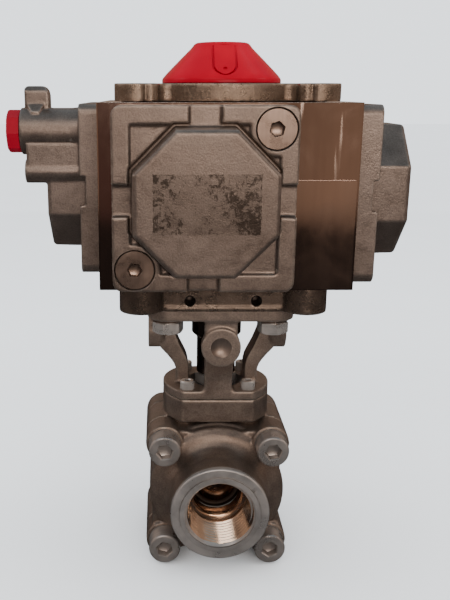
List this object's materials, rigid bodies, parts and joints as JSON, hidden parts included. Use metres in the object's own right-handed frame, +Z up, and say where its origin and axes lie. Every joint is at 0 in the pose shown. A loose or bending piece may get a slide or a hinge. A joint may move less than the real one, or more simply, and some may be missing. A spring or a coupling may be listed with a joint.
{
  "type": "pneumatic actuated valve",
  "caption": "Threaded three-piece ball valve turned by a square four-piston spring-return pneumatic actuator on a cast four-leg bracket, with a dome position indicator.",
  "frame": {"origin": "point under the stem axis on the plane the valve's lower lobes rest on", "axes": "+Z up along the stem; the pipe runs along Y, with the front pipe end towards -Y; +X to the right of the front view"},
  "size_m": [0.179, 0.1614, 0.2504],
  "materials": {
    "cast_steel": "bead-blasted stainless casting, satin, slightly rough",
    "machined_steel": "turned steel",
    "piston_aluminium": "machined aluminium",
    "cast_aluminium": "die-cast, tumbled, satin",
    "polished_aluminium": "smooth polished, mirror-like faces",
    "bolt_steel": "stainless fasteners",
    "ball_steel": "lapped and polished",
    "polymer": "seat and packing polymer",
    "acetal": "bearing polymer",
    "red_plastic": "glossy moulded",
    "spring_steel": "oiled spring wire",
    "foil": "polished blank foil"
  },
  "bodies": {
    "housing": {"valve_body": "cast_steel", "front_end_cap": "cast_steel", "rear_end_cap": "cast_steel", "mounting_bracket": "cast_steel", "gland_ring": "machined_steel", "gland_nut": "machined_steel", "bottom_cover": "cast_aluminium", "top_cover": "cast_aluminium", "front_cap": "cast_aluminium", "right_cap": "cast_aluminium", "rear_cap": "cast_aluminium", "left_port_cap": "cast_aluminium", "actuator_body": "polished_aluminium", "front_seat": "polymer", "rear_seat": "polymer", "stem_packing": "polymer", "lower_bushing": "acetal", "upper_bushing": "acetal", "disc_spring": "spring_steel", "front_spring": "spring_steel", "right_spring": "spring_steel", "rear_spring": "spring_steel", "left_spring": "spring_steel", "port_plug": "red_plastic", "nameplate": "foil", "base_screw_front_left": "bolt_steel", "base_screw_front_right": "bolt_steel", "base_screw_rear_right": "bolt_steel", "base_screw_rear_left": "bolt_steel", "bracket_bolt_front_left": "bolt_steel", "bracket_bolt_front_right": "bolt_steel", "bracket_bolt_rear_right": "bolt_steel", "bracket_bolt_rear_left": "bolt_steel", "top_screw_front_left": "bolt_steel", "top_screw_front_right": "bolt_steel", "top_screw_rear_right": "bolt_steel", "top_screw_rear_left": "bolt_steel", "body_screw_upper_left": "bolt_steel", "body_screw_upper_right": "bolt_steel", "body_screw_lower_left": "bolt_steel", "body_screw_lower_right": "bolt_steel", "cap_screw_front_upper": "bolt_steel", "cap_screw_front_lower": "bolt_steel", "cap_screw_right_upper": "bolt_steel", "cap_screw_right_lower": "bolt_steel", "cap_screw_rear_upper": "bolt_steel", "cap_screw_rear_lower": "bolt_steel", "cap_screw_left_upper": "bolt_steel", "cap_screw_left_lower": "bolt_steel"},
    "rotor": {"pinion": "machined_steel", "coupling": "machined_steel", "stem": "machined_steel", "ball": "ball_steel", "indicator_dome": "red_plastic", "indicator_screw": "bolt_steel"},
    "front_piston_body": {"front_piston": "piston_aluminium"},
    "right_piston_body": {"right_piston": "piston_aluminium"},
    "rear_piston_body": {"rear_piston": "piston_aluminium"},
    "left_piston_body": {"left_piston": "piston_aluminium"}
  },
  "joints": [
    {"name": "pinion_turn", "type": "hinge", "parent": "housing", "child": "rotor", "pos_m": [0, 0, 0.1857], "axis": [0, 0, 1], "range_deg": [0, 90], "stiffness_Nm_per_rad": 4, "springref_deg": -17.19},
    {"name": "front_piston_slide", "type": "slide", "parent": "housing", "child": "front_piston_body", "axis": [0, -1, 0], "range_m": [0, 0.0165], "deforming": ["front_spring"]},
    {"name": "right_piston_slide", "type": "slide", "parent": "housing", "child": "right_piston_body", "axis": [1, 0, 0], "range_m": [0, 0.0165], "deforming": ["right_spring"]},
    {"name": "rear_piston_slide", "type": "slide", "parent": "housing", "child": "rear_piston_body", "axis": [0, 1, 0], "range_m": [0, 0.0165], "deforming": ["rear_spring"]},
    {"name": "left_piston_slide", "type": "slide", "parent": "housing", "child": "left_piston_body", "axis": [-1, 0, 0], "range_m": [0, 0.0165], "deforming": ["left_spring"]}
  ],
  "couplings": [
    {"joint": "front_piston_slide", "follows": "pinion_turn", "m_per_rad": 0.0105},
    {"joint": "right_piston_slide", "follows": "pinion_turn", "m_per_rad": 0.0105},
    {"joint": "rear_piston_slide", "follows": "pinion_turn", "m_per_rad": 0.0105},
    {"joint": "left_piston_slide", "follows": "pinion_turn", "m_per_rad": 0.0105}
  ]
}
